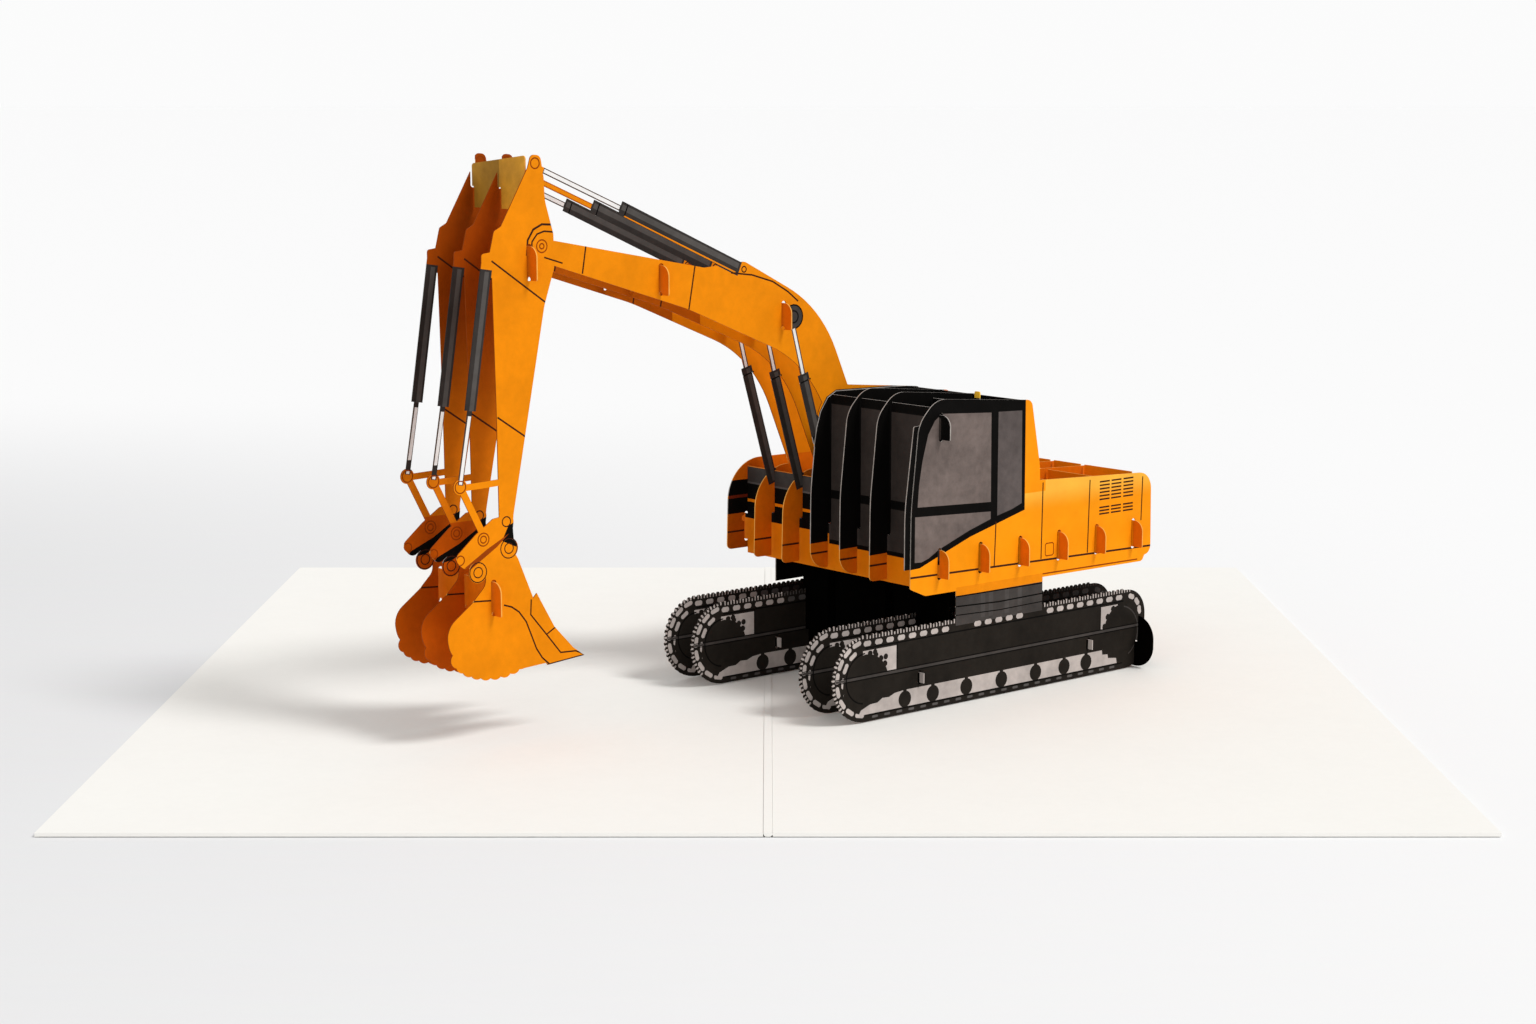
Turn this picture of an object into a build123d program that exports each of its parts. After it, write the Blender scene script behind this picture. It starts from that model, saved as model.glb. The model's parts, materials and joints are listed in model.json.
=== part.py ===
from build123d import *
import math
import os

# A pop-up card: an excavator built from slotted paper sheets that stands on an opened card.
# Long sheets run along the excavator, cross slats run across it, and both stand upright.
# In the sheets' own coordinates, a runs rearwards along the excavator, v runs away from its near
# side and z runs up from the top face of the card. All sizes are in millimetres.

# Card
CARD_WIDTH = 300.0
CARD_DEPTH = 300.0
CARD_THICKNESS = 0.8
CREASE_GAP = 1.0
BEAD_RADIUS = 0.95
BEAD_RISE = 0.15

# Paper, slots and tabs
PAPER = 0.3
SLOT = 1.5
PLAY = 0.2
SHOULDER = 0.8
TAB = 3.2
FOOT_LIFT = 0.25

# Where the sheets stand
FRONT_X, FRONT_Y = 22.5, -57.1
HEADING = 50.0
SLICE_START = 7.0
SLICE_STEP = 11.2
SLICE_V = [0.0] + [SLICE_START + SLICE_STEP * n for n in range(1, 7)]
NEAR_INNER_V = 12.0
FAR_INNER_V = 54.0
FAR_OUTER_V = 65.0
WEB_V = [21.5, 43.5]
WEB_LOW = 6.0
WEB_END = 2.5

# Tracks
TRACK_HEIGHT = 21.3
TRACK_FRONT = -9.65
TRACK_REAR = 100.5
TRACK_REAR_RADIUS = 7.0
TOOTH_PITCH = 1.6
TOOTH_DEPTH = 0.45
TURNTABLE = (31.0, 61.5)
FAR_TURNTABLE = (35.6, 61.5)
FAR_TURNTABLE_LOW = 19.8

# House and cab
HOUSE_FRONT = 15.5
HOUSE_REAR = 102.2
HOUSE_BOTTOM = 28.6
SLICE_SET_BACK = 3.2
SLICE_BOTTOM = 29.7
DECK_TOP = 52.6
CAB_TOP = 75.4
CAB_REAR = 60.0
FAR_SIDE_LIFT = 0.6

# Cross slats
HOUSE_SLAT_A = [25.3 + 14.0 * n for n in range(6)]
HOUSE_SLAT_LOW = 28.9
HOUSE_SLAT_TOP = 52.2
CAB_SLAT_TOP = 74.2
ROOF_TIP_TOP = 77.2
TAB_LOW, TAB_HIGH = 32.5, 39.4
CAB_TAB_LOW, CAB_TAB_HIGH = 66.6, 72.6
TIE_A = [19.0, 79.0]
TIE_LOW, TIE_HIGH = 2.0, 17.0
PEG_LOW, PEG_HIGH = 7.3, 9.8
PEG = 1.6
FRAME_SLAT_A = [29.5, 60.0]
FRAME_SLAT_LOW = 0.6
FRAME_ARM_LOW = 22.6
FRAME_SLAT_TOP = HOUSE_BOTTOM - 0.3
FAR_PEG_LOW, FAR_PEG_HIGH = 23.8, 26.6
ANCHOR_SLAT_A = 97.5
ANCHOR_HEIGHT = 13.8
ANCHOR_REACH = 6.0
LAP_HOUSE = 41.0
LAP_TRACK = 10.6

ALONG = Vector(math.sin(math.radians(HEADING)), math.cos(math.radians(HEADING)), 0)
AWAY = Vector(-math.cos(math.radians(HEADING)), math.sin(math.radians(HEADING)), 0)
FRONT = Vector(FRONT_X, FRONT_Y, CARD_THICKNESS)


def outline(points):
    """A closed face through (x, z) corners; a third number rounds that corner with an arc."""
    corners = [Vector(p[0], p[1]) for p in points]
    radii = [p[2] if len(p) > 2 else 0.0 for p in points]
    count = len(points)
    edges = []
    starts, ends, mids = [], [], []
    for i, corner in enumerate(corners):
        back = (corners[i - 1] - corner).normalized()
        ahead = (corners[(i + 1) % count] - corner).normalized()
        if radii[i] == 0.0:
            starts.append(corner)
            ends.append(corner)
            mids.append(None)
            continue
        half = math.radians(back.get_angle(ahead)) / 2
        reach = radii[i] / math.tan(half)
        inward = (back + ahead).normalized()
        starts.append(corner + back * reach)
        ends.append(corner + ahead * reach)
        mids.append(corner + inward * (radii[i] / math.sin(half) - radii[i]))
    for i in range(count):
        if mids[i] is not None:
            edges.append(ThreePointArc(starts[i], mids[i], ends[i]))
        following = starts[(i + 1) % count]
        if (following - ends[i]).length > 1e-4:
            edges.append(Line(ends[i], following))
    return make_face(edges)


def bar(start, finish, width):
    """A straight strip between two points."""
    begin, end = Vector(*start), Vector(*finish)
    side = (end - begin).normalized().rotate(Axis.Z, 90) * (width / 2)
    return make_face(Polyline(begin + side, end + side, end - side, begin - side, close=True))


def disc(x, z, radius):
    return Pos(x, z) * Circle(radius)


def block(x0, z0, x1, z1):
    """A rectangle between two corners."""
    return Pos((x0 + x1) / 2, (z0 + z1) / 2) * Rectangle(x1 - x0, z1 - z0)


def slot_up(x, low, high):
    """A slot open at its lower end, with a round upper end at high."""
    return block(x - SLOT / 2, low - 1, x + SLOT / 2, high - SLOT / 2) + disc(x, high - SLOT / 2, SLOT / 2)


def slot_down(x, low, high):
    """A slot open at its upper end, with a round lower end at low."""
    return block(x - SLOT / 2, low + SLOT / 2, x + SLOT / 2, high + 1) + disc(x, low + SLOT / 2, SLOT / 2)


def slot_closed(x, low, high):
    """A slot with two round ends, for a tab that reaches from low to high."""
    low_end, high_end = low - SLOT / 2 + PLAY, high + SLOT / 2 - PLAY
    middle = block(x - SLOT / 2, low_end + SLOT / 2, x + SLOT / 2, high_end - SLOT / 2)
    return middle + disc(x, low_end + SLOT / 2, SLOT / 2) + disc(x, high_end - SLOT / 2, SLOT / 2)


def long_sheet(face, v):
    """Stands a face drawn in (a, z) as a sheet of paper at the offset v."""
    plane = Plane(origin=FRONT + AWAY * v, x_dir=ALONG, z_dir=AWAY * -1)
    return extrude(plane * face, PAPER / 2, both=True)


def cross_slat(face, a):
    """Stands a face drawn in (v, z) as a slat of paper at the station a."""
    plane = Plane(origin=FRONT + ALONG * a, x_dir=AWAY, z_dir=ALONG)
    return extrude(plane * face, PAPER / 2, both=True)


def toothed_edge(start, finish):
    """Small grouser teeth along a straight run, raised to its left."""
    begin, end = Vector(*start), Vector(*finish)
    run = end - begin
    outward = run.normalized().rotate(Axis.Z, 90) * TOOTH_DEPTH
    count = round(run.length / TOOTH_PITCH)
    step = run / count
    points = [begin - outward]
    for n in range(count):
        root = begin + step * n
        points += [root, root + step * 0.25 + outward, root + step * 0.6 + outward, root + step * 0.85]
    points += [end, end - outward]
    return make_face(Polyline(*points, close=True))


def toothed_bend(centre, radius, from_angle, to_angle):
    """The same teeth around a round end, from one angle to a smaller one in degrees."""
    span = from_angle - to_angle
    count = round(math.radians(span) * radius / TOOTH_PITCH)
    ring = []
    for n in range(count):
        for share, rise in ((0.0, 0.0), (0.25, TOOTH_DEPTH), (0.6, TOOTH_DEPTH), (0.85, 0.0)):
            angle = math.radians(from_angle - span * (n + share) / count)
            reach = radius + rise
            ring.append((centre[0] + reach * math.cos(angle), centre[1] + reach * math.sin(angle)))
    return make_face(Polyline(centre, *ring, close=True))


def track_face():
    """One side plate of a crawler track, with its teeth."""
    radius = TRACK_HEIGHT / 2
    inner = radius - TOOTH_DEPTH
    left = TRACK_FRONT
    plate = outline([
        (left + TOOTH_DEPTH, 0, inner), (left + TOOTH_DEPTH, TRACK_HEIGHT - TOOTH_DEPTH, inner),
        (TRACK_REAR, TRACK_HEIGHT - TOOTH_DEPTH, TRACK_REAR_RADIUS), (TRACK_REAR, 0, TRACK_REAR_RADIUS),
    ])
    middle = (left + radius, radius)
    top = toothed_edge((middle[0], TRACK_HEIGHT - TOOTH_DEPTH), (TRACK_REAR - 8, TRACK_HEIGHT - TOOTH_DEPTH))
    return plate + top + toothed_bend(middle, inner, 260, 90)


def rear_points():
    """The rear deck and counterweight, from the back of the cab down."""
    return [(CAB_REAR, DECK_TOP + 0.8), (HOUSE_REAR - 0.4, DECK_TOP - 1.0, 4.6)]


def cab_points(shift):
    """The front, roof and back of the cab, with its front moved rearwards by shift."""
    return [
        (HOUSE_FRONT + 0.2 + shift, 50.0, 60.0), (18.0 + shift, 71.0, 8.0),
        (23.6 + shift, CAB_TOP + 1.2, 7.0), (56.6, CAB_TOP - 1.4, 2.0), (CAB_REAR - 0.2, 57.5, 20.0),
    ]


def side_face():
    """The near side of the cab and house, with the sill that is stepped at both ends."""
    return outline([
        (20.6, HOUSE_BOTTOM, 2.0), (HOUSE_FRONT, 30.8, 0.8), *cab_points(0), *rear_points(),
        (HOUSE_REAR, 29.8, 2.4), (HOUSE_REAR - 2.4, 29.8, 0.4), (HOUSE_REAR - 3.2, HOUSE_BOTTOM - 0.4, 1.4),
    ])


def cab_slice_face(corner):
    """A slice through cab and house; corner is the radius of its lower front corner."""
    front = HOUSE_FRONT + SLICE_SET_BACK
    return outline([
        (front, SLICE_BOTTOM, corner), *cab_points(SLICE_SET_BACK), *rear_points(),
        (HOUSE_REAR, SLICE_BOTTOM, 2.4),
    ])


def low_face():
    """The low part of the house, as beside and under the arm."""
    front = HOUSE_FRONT + SLICE_SET_BACK
    return outline([
        (front, SLICE_BOTTOM, 1.4), (front + 0.6, DECK_TOP + 1.0, 11.0), *rear_points(),
        (HOUSE_REAR, SLICE_BOTTOM, 2.4),
    ])


def bucket_face():
    """Bucket side plate with its ears, scalloped underside, side cutter and lip."""
    body = outline([
        (-76.4, 48.0, 1.5), (-73.6, 43.6, 2.0), (-69.6, 34.0), (-65.6, 17.8), (-72.5, 17.4, 6.0),
        (-80.0, 17.2, 8.0), (-88.0, 19.4, 6.0), (-92.6, 23.6, 5.0), (-93.8, 29.2, 5.0), (-86.4, 34.6, 6.0),
        (-82.6, 38.4, 3.0), (-82.6, 44.0, 1.0),
    ])
    cutter = outline([
        (-70.2, 33.0), (-68.5, 34.8), (-63.6, 26.2), (-58.2, 20.4), (-55.0, 18.1), (-65.7, 17.2),
        (-70.0, 26.0),
    ])
    ears = disc(-76.1, 46.3, 2.5) + disc(-84.7, 41.6, 2.5)
    scallops = Sketch()
    for n in range(10):
        share = n / 9
        angle = math.radians(205 + 115 * share)
        scallops += disc(-80.1 + 11.6 * math.cos(angle), 24.9 + 7.2 * math.sin(angle), 1.9)
    return body + cutter + ears + scallops


def coupler_face():
    """The plate between the stick and the bucket, with the dark wedge under it."""
    plate = outline([
        (-74.4, 54.4, 1.6), (-80.4, 53.6, 1.0), (-85.2, 50.4, 4.0), (-91.2, 45.4, 1.6), (-88.2, 42.4, 1.6),
        (-82.0, 46.6, 6.0), (-75.0, 50.4, 1.6),
    ])
    wedge = make_face(Polyline((-75.0, 52.0), (-74.6, 46.5), (-84.0, 42.0), (-86.0, 44.0), close=True))
    return plate + wedge


def stick_face():
    """The dipper stick, from its top pin down to the bucket pin."""
    return outline([
        (-78.6, 50.9, 1.4), (-78.9, 80.0), (-79.5, 108.8), (-82.3, 109.4, 0.5), (-82.3, 114.3, 0.7),
        (-80.0, 114.6), (-78.8, 119.3, 0.8), (-76.9, 120.3, 0.8), (-69.3, 133.4), (-68.4, 136.4, 1.2),
        (-65.8, 136.2, 1.4), (-64.9, 131.0), (-64.7, 126.0, 9.0), (-62.4, 118.2, 2.0), (-62.3, 110.4, 2.0),
        (-65.2, 101.8, 12.0), (-74.7, 54.0, 2.0), (-75.0, 50.7, 1.4),
    ])


def boom_face():
    """The bent boom, from the stick pin down to its foot inside the house."""
    return outline([
        (-66.4, 117.4, 2.4), (-18.0, 108.6), (-5.4, 109.6, 2.0), (8.6, 102.6, 10.0),
        (19.4, 97.6, 34.0), (40.6, 50.0), (30.0, 50.0), (15.9, 83.0, 34.0), (-23.1, 98.9, 60.0),
        (-64.0, 111.4, 1.5), (-68.0, 113.0, 2.0),
    ])


def arm_face():
    """Everything of the arm that is cut in one sheet: boom, stick, rams, links and bucket."""
    stick_ram = bar((-66.0, 133.2), (-42.0, 123.1), 1.3) + bar((-43.0, 123.7), (-3.0, 106.2), 3.2)
    boom_ram = bar((10.1, 92.0), (13.8, 79.6), 1.3) + bar((13.5, 80.6), (22.6, 50.0), 3.0)
    bucket_ram = bar((-80.9, 112.0), (-86.0, 79.0), 2.9) + bar((-86.0, 79.6), (-89.1, 61.8), 1.2)
    links = bar((-89.1, 61.5), (-78.0, 61.9), 1.5) + bar((-88.9, 61.5), (-83.0, 50.0), 1.7)
    links += disc(-89.1, 61.8, 1.8)
    rams = stick_ram + boom_ram + bucket_ram
    return boom_face() + stick_face() + rams + links + coupler_face() + bucket_face()


# Where the arm stands, against the coordinates it is drawn in
ARM_SHIFT = (2.5, -0.7)

# Lower front corners of the cab slices, from the near side
CAB_SLICE_CORNERS = [1.4, 5.0, 5.0]

# Arm slats, in the arm's own coordinates: station a, lowest z and highest z of the tabs, and how
# far the slat hangs below its tabs between the sheets
ARM_SLATS = {
    "stick_pin_slat": (-69.2, 107.8, 115.6, 0.0),
    "boom_middle_slat": (-31.2, 102.6, 109.7, 0.0),
    "boom_bend_slat": (7.2, 92.2, 98.8, 3.4),
    "bucket_slat": (-80.5, 31.0, 38.9, 0.0),
}

# The slat in the top of the stick hangs in slots from above
STICK_TOP_A = -69.3
STICK_TOP_LOW = 123.8
STICK_TOP_LAP = 128.6
STICK_TOP_HIGH = 136.2


def arm_sheet_face(index):
    """The arm with the slots for its cross slats; the near sheet hides the end of the top one."""
    face = arm_face()
    for a, low, high, _ in ARM_SLATS.values():
        face -= slot_closed(a, low + 0.4, high)
    if index > 3:
        face -= slot_down(STICK_TOP_A, STICK_TOP_LAP - PLAY, STICK_TOP_HIGH + 2)
    return face


def house_slots():
    """Slots from below for the house slats, in a slice of the house."""
    cuts = Sketch()
    for a in HOUSE_SLAT_A:
        cuts += slot_up(a, HOUSE_BOTTOM - 1, LAP_HOUSE + PLAY)
    return cuts


def track_slots():
    """Closed slots for the pegs of the track's ties, and the anchor slat's slot from below."""
    cuts = slot_up(ANCHOR_SLAT_A, -1, ANCHOR_HEIGHT / 2 + PLAY)
    for a in TIE_A:
        cuts += slot_closed(a, PEG_LOW, PEG_HIGH)
    return cuts


def frame_slots():
    """Slots from above for the frame slats, in an inner track plate."""
    cuts = Sketch()
    for a in FRAME_SLAT_A:
        cuts += slot_down(a, LAP_TRACK - PLAY, TRACK_HEIGHT)
    return cuts


def near_side_face():
    """The complete near side: track plate, turntable, house and cab in one sheet."""
    turntable = block(TURNTABLE[0], TRACK_HEIGHT - 4, TURNTABLE[1], HOUSE_BOTTOM + 2)
    face = Pos(0, FOOT_LIFT) * track_face() + turntable + side_face()
    for a in HOUSE_SLAT_A:
        face -= slot_closed(a, TAB_LOW, TAB_HIGH)
    face -= slot_closed(HOUSE_SLAT_A[0], CAB_TAB_LOW, CAB_TAB_HIGH)
    return face - track_slots()


def slice_face(index):
    """One inner or far slice of the house, with the arm where it has one."""
    if index > 3:
        face = low_face()
    else:
        face = cab_slice_face(CAB_SLICE_CORNERS[index - 1])
    if 3 <= index <= 5:
        face += Pos(*ARM_SHIFT) * arm_sheet_face(index)
    return face - house_slots()


def tab_end(v, low, high, side):
    """A tab that sticks out of a sheet at v, with its outer upper corner well rounded."""
    reach = TAB * side
    return outline([
        (v, low), (v + reach, low, 0.4), (v + reach, high, TAB * 0.85), (v, high),
    ][::side])


def house_slat_face(index):
    """A slat across the house, with combs for the slices and tabs at both ends."""
    last = SLICE_V[-1]
    tall_end = SLICE_V[3] + 1.6
    top = CAB_SLAT_TOP if index < 3 else HOUSE_SLAT_TOP
    face = block(SHOULDER, HOUSE_SLAT_LOW, last - SHOULDER, HOUSE_SLAT_TOP)
    if index < 3:
        face += block(SHOULDER, HOUSE_SLAT_LOW, tall_end, CAB_SLAT_TOP)
    face += block(-0.5, TAB_LOW, SHOULDER + 1, TAB_HIGH)
    face += block(last - SHOULDER - 1, TAB_LOW, last + 0.5, TAB_HIGH)
    face += tab_end(-0.2, TAB_LOW, TAB_HIGH, -1) + tab_end(last + 0.2, TAB_LOW, TAB_HIGH, 1)
    if index == 0:
        face += block(-0.5, CAB_TAB_LOW, SHOULDER + 1, CAB_TAB_HIGH)
        face += tab_end(-0.2, CAB_TAB_LOW, CAB_TAB_HIGH, -1)
    if index == 1:
        face += outline([(0.8, 70), (0.8, ROOF_TIP_TOP, 0.4), (2.6, ROOF_TIP_TOP, 0.4), (2.6, 70)])
    for n, v in enumerate(SLICE_V[1:-1], 1):
        face -= slot_down(v, LAP_HOUSE - PLAY, top if n <= 3 else HOUSE_SLAT_TOP)
    return face


def far_side_face():
    """The far side of the house and turntable, with closed slots for the tabs and a small hole."""
    face = Pos(0, FAR_SIDE_LIFT) * low_face()
    face += block(FAR_TURNTABLE[0], FAR_TURNTABLE_LOW, FAR_TURNTABLE[1], SLICE_BOTTOM + FAR_SIDE_LIFT + 2)
    for a in HOUSE_SLAT_A:
        face -= slot_closed(a, TAB_LOW, TAB_HIGH)
    face -= slot_closed(FRAME_SLAT_A[-1], FAR_PEG_LOW, FAR_PEG_HIGH)
    return face - disc(HOUSE_SLAT_A[0] - SLOT / 2, TAB_HIGH - 1.2, SLOT * 0.6)


def tie_face(first, last):
    """A short slat that ties the two plates of a track, with a peg through each plate."""
    body = block(first + SHOULDER, TIE_LOW, last - SHOULDER, TIE_HIGH)
    return body + block(first - PEG, PEG_LOW, last + PEG, PEG_HIGH)


def frame_slat_face(index):
    """A tall slat across the undercarriage; the rear one reaches over the far track with a peg."""
    far = SLICE_V[-1]
    face = block(SHOULDER, FRAME_SLAT_LOW, FAR_INNER_V + PEG, FRAME_SLAT_TOP)
    if index == 2:
        face += block(SHOULDER, FRAME_ARM_LOW, far - SHOULDER, FRAME_SLAT_TOP)
        face += block(far - SHOULDER - 1, FAR_PEG_LOW, far + PAPER / 2, FAR_PEG_HIGH)
    for v in (NEAR_INNER_V, FAR_INNER_V):
        face -= slot_up(v, FRAME_SLAT_LOW - 1, LAP_TRACK + PLAY)
    for v in WEB_V:
        face -= slot_down(v, LAP_TRACK - PLAY, HOUSE_BOTTOM)
    return face


def web_face():
    """A short long-way sheet under the turntable."""
    face = block(FRAME_SLAT_A[0] - WEB_END, WEB_LOW, FRAME_SLAT_A[-1] + WEB_END, FRAME_SLAT_TOP - 0.9)
    for a in FRAME_SLAT_A:
        face -= slot_up(a, WEB_LOW - 1, LAP_TRACK + PLAY)
    return face


def anchor_slat_face():
    """The rear slat of the undercarriage; its round near end is the foot of the pop-up."""
    half = ANCHOR_HEIGHT / 2
    low = FOOT_LIFT
    face = outline([
        (-ANCHOR_REACH, low, 5.9), (-ANCHOR_REACH, ANCHOR_HEIGHT, 5.9),
        (FAR_OUTER_V + 3.0, ANCHOR_HEIGHT, 2.5), (FAR_OUTER_V + 3.0, low, 2.5),
    ])
    for v in (0.0, NEAR_INNER_V, FAR_INNER_V, FAR_OUTER_V):
        face -= slot_down(v, half - PLAY, ANCHOR_HEIGHT)
    return face


def arm_slat_face(low, high, hang):
    """A slat across the three arm sheets, round at both ends and notched to stay in place."""
    first, last = SLICE_V[3] - TAB, SLICE_V[5] + TAB
    face = outline([(first, low, 0.4), (first, high, 2.6), (last, high, 2.6), (last, low, 0.4)])
    for v in SLICE_V[3:6]:
        face -= slot_up(v, low - 1, low + SLOT / 2 + 0.1)
    if hang:
        for v in SLICE_V[3:5]:
            face += block(v + SHOULDER, low - hang, v + SLICE_STEP - SHOULDER, low + SHOULDER)
    return face


def stick_top_face():
    """The slat between the tops of the stick's sheets, from behind the near one to the far one."""
    first, last = SLICE_V[3] + SHOULDER, SLICE_V[5] + PAPER / 2
    face = outline([
        (first, STICK_TOP_LOW), (first, STICK_TOP_HIGH, 0.8), (last, STICK_TOP_HIGH - 2.2, 0.8),
        (last, STICK_TOP_LOW),
    ])
    for v in SLICE_V[4:6]:
        face -= slot_up(v, STICK_TOP_LOW - 1, STICK_TOP_LAP + PLAY)
    return face


def cab_edge_face():
    """The thin dark strip glued behind the front edge of the cab."""
    return outline([
        (13.9, 35.6), (13.9, 50.0, 60.0), (16.6, 70.4, 0.4), (20.0, 70.6, 0.4), (18.4, 66.0, 9.0),
        (16.8, 50.0, 60.0), (16.8, 35.6),
    ])


def panel(side):
    """One half of the card; side is 1 on the right and -1 on the left."""
    width = CARD_WIDTH / 2 - CREASE_GAP
    centre = side * (CREASE_GAP + width / 2)
    return Pos(centre, 0, CARD_THICKNESS / 2) * Box(width, CARD_DEPTH, CARD_THICKNESS)


def crease_bead():
    """The raised crease line, with a lip that joins it to the right half along its inner edge."""
    bead = Pos(0, 0, CARD_THICKNESS) * Rot(90, 0, 0) * Cylinder(BEAD_RADIUS, CARD_DEPTH)
    keep = Pos(0, 0, (CARD_THICKNESS + BEAD_RISE) / 2) * Box(4, CARD_DEPTH, CARD_THICKNESS + BEAD_RISE)
    lip_width = CREASE_GAP - BEAD_RADIUS * 0.6
    lip = Pos(CREASE_GAP - lip_width / 2, 0, CARD_THICKNESS - 0.35) * Box(lip_width, CARD_DEPTH, 0.3)
    return (bead & keep) + lip


def anchor_tab():
    """A small folded paper foot between the card and the anchor slat."""
    foot_x = FRONT_X + ALONG.X * ANCHOR_SLAT_A + 2.2
    foot_y = FRONT_Y + ALONG.Y * ANCHOR_SLAT_A
    height = 4.0
    centre = Vector(foot_x - PAPER / 2, foot_y + 6.5, CARD_THICKNESS + FOOT_LIFT + height / 2)
    return Pos(centre) * Box(PAPER, 6.0, height)


def build():
    parts = {
        "right_panel": panel(1), "left_panel": panel(-1), "crease_bead": crease_bead(),
        "anchor_tab": anchor_tab(), "near_side_sheet": long_sheet(near_side_face(), SLICE_V[0]),
        "cab_edge_strip": long_sheet(cab_edge_face(), PAPER + 0.02),
    }
    slice_names = ["cab_slice_1", "cab_slice_2", "arm_sheet_near", "arm_sheet_middle", "arm_sheet_far"]
    for index, name in enumerate(slice_names, 1):
        parts[name] = long_sheet(slice_face(index), SLICE_V[index])
    parts["far_side_sheet"] = long_sheet(far_side_face(), SLICE_V[-1])
    track = Pos(0, FOOT_LIFT) * track_face() - track_slots()
    parts["near_track_inner"] = long_sheet(track - frame_slots(), NEAR_INNER_V)
    parts["far_track_inner"] = long_sheet(track - frame_slots(), FAR_INNER_V)
    parts["far_track_outer"] = long_sheet(track, FAR_OUTER_V)
    for number, a in enumerate(TIE_A, 1):
        parts[f"near_track_tie_{number}"] = cross_slat(tie_face(0.0, NEAR_INNER_V), a)
        parts[f"far_track_tie_{number}"] = cross_slat(tie_face(FAR_INNER_V, FAR_OUTER_V), a)
    for number, v in enumerate(WEB_V, 1):
        parts[f"turntable_web_{number}"] = long_sheet(web_face(), v)
    for index, a in enumerate(HOUSE_SLAT_A):
        parts[f"house_slat_{index + 1}"] = cross_slat(house_slat_face(index), a)
    for number, a in enumerate(FRAME_SLAT_A, 1):
        parts[f"frame_slat_{number}"] = cross_slat(frame_slat_face(number), a)
    parts["anchor_slat"] = cross_slat(anchor_slat_face(), ANCHOR_SLAT_A)
    shift, drop = ARM_SHIFT
    for name, (a, low, high, hang) in ARM_SLATS.items():
        parts[name] = cross_slat(Pos(0, drop) * arm_slat_face(low, high, hang), a + shift)
    parts["stick_top_slat"] = cross_slat(Pos(0, drop) * stick_top_face(), STICK_TOP_A + shift)
    return parts


os.makedirs("parts", exist_ok=True)
for node, shape in build().items():
    export_step(shape, f"parts/{node}.step")
    print(node, len(shape.solids()), round(shape.volume, 1))
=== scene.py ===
import json
import math

import bpy
import numpy as np
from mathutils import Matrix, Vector
from mathutils.geometry import delaunay_2d_cdt


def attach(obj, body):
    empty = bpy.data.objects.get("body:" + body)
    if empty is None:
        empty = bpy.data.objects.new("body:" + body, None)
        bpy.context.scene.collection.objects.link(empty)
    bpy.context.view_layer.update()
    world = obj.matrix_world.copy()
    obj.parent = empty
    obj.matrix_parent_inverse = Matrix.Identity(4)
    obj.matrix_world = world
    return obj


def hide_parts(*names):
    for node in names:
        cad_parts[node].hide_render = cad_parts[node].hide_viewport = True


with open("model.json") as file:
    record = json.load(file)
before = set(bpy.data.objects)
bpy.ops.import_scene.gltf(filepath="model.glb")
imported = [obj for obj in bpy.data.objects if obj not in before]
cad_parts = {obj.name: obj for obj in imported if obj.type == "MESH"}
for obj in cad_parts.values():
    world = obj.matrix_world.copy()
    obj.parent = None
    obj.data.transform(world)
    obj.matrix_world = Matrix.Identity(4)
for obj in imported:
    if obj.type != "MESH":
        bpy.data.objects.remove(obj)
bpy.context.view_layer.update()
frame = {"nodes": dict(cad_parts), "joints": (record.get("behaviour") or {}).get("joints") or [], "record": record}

# The sheets' own coordinates, in millimetres, found from the joints: a runs rearwards along the
# excavator, v runs away from its near side, z runs up from the card's top face.
# SWING_A is the rear slat's place along a.
MM = 0.001
SWING_A = 97.5
JOINTS = {joint["name"]: joint for joint in frame["joints"]}
SWING = Vector(JOINTS["near_side_swing"]["pos_m"])
FIRST_SLAT = Vector(JOINTS["house_cross_1_shear"]["pos_m"])
ALONG = (SWING - FIRST_SLAT).normalized()
AWAY = Vector((-ALONG.y, ALONG.x, 0))
FRONT = SWING - ALONG * SWING_A * MM
CARD_TOP = SWING.z
BODY_OF = {node: body for body, nodes in frame["record"]["behaviour"]["bodies"].items() for node in nodes}

# Printing, in millimetres: the depth and width of engraved lines, and how far the arm stands from the
# coordinates that it is drawn in. LINE_WEIGHT widens every engraved line by one factor.
GROOVE_DEPTH = 0.05
LINE = 0.32
LINE_WEIGHT = 1.2
CIRCLE_STEPS = 28
ARM_SHIFT = (2.5, -0.7)

# Paper: noise scales per metre, and the height of its fibres in metres
MOTTLE_SCALE, BLOTCH_SCALE, FIBRE_SCALE = 420.0, 70.0, 1500.0
FIBRE_HEIGHT = 0.00006

# Studio, in metres. The floor changes tone from left to right between FLOOR_LEFT_X and FLOOR_RIGHT_X: painted
# light falloff, darker on the left and brighter towards the light on the right. It takes its far tone between
# FLOOR_NEAR and FLOOR_FAR, all in the floor's own coordinates.
FLOOR_SIZE = 60
FLOOR_Y = 28.0
FLOOR_DROP = 0.0002
FLOOR_LEFT_X, FLOOR_RIGHT_X = -0.5, 0.3
FLOOR_NEAR, FLOOR_FAR = -27.9, -27.35
LEFT_TONE = (0.67, 0.67, 0.675)
RIGHT_TONE = (0.89, 0.89, 0.89)
FAR_TONE = (0.888, 0.888, 0.888)
SKY = 0.62
BACKDROP = (0.968, 0.968, 0.968)

# Camera: lens and sensor in millimetres, its tilt below level in degrees, and its place in metres
LENS = 59.8
SENSOR = 36.0
CAMERA_DOWN = 9.17
CAMERA_BACK = 0.6545
CAMERA_HEIGHT = 0.1479

# A colour Mix node has several sockets of one name, so its colour ones are known by number.
MIX_FACTOR, MIX_FIRST, MIX_SECOND, MIX_RESULT = 0, 6, 7, 2


# ---------------------------------------------------------------- drawing in sheet coordinates

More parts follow.
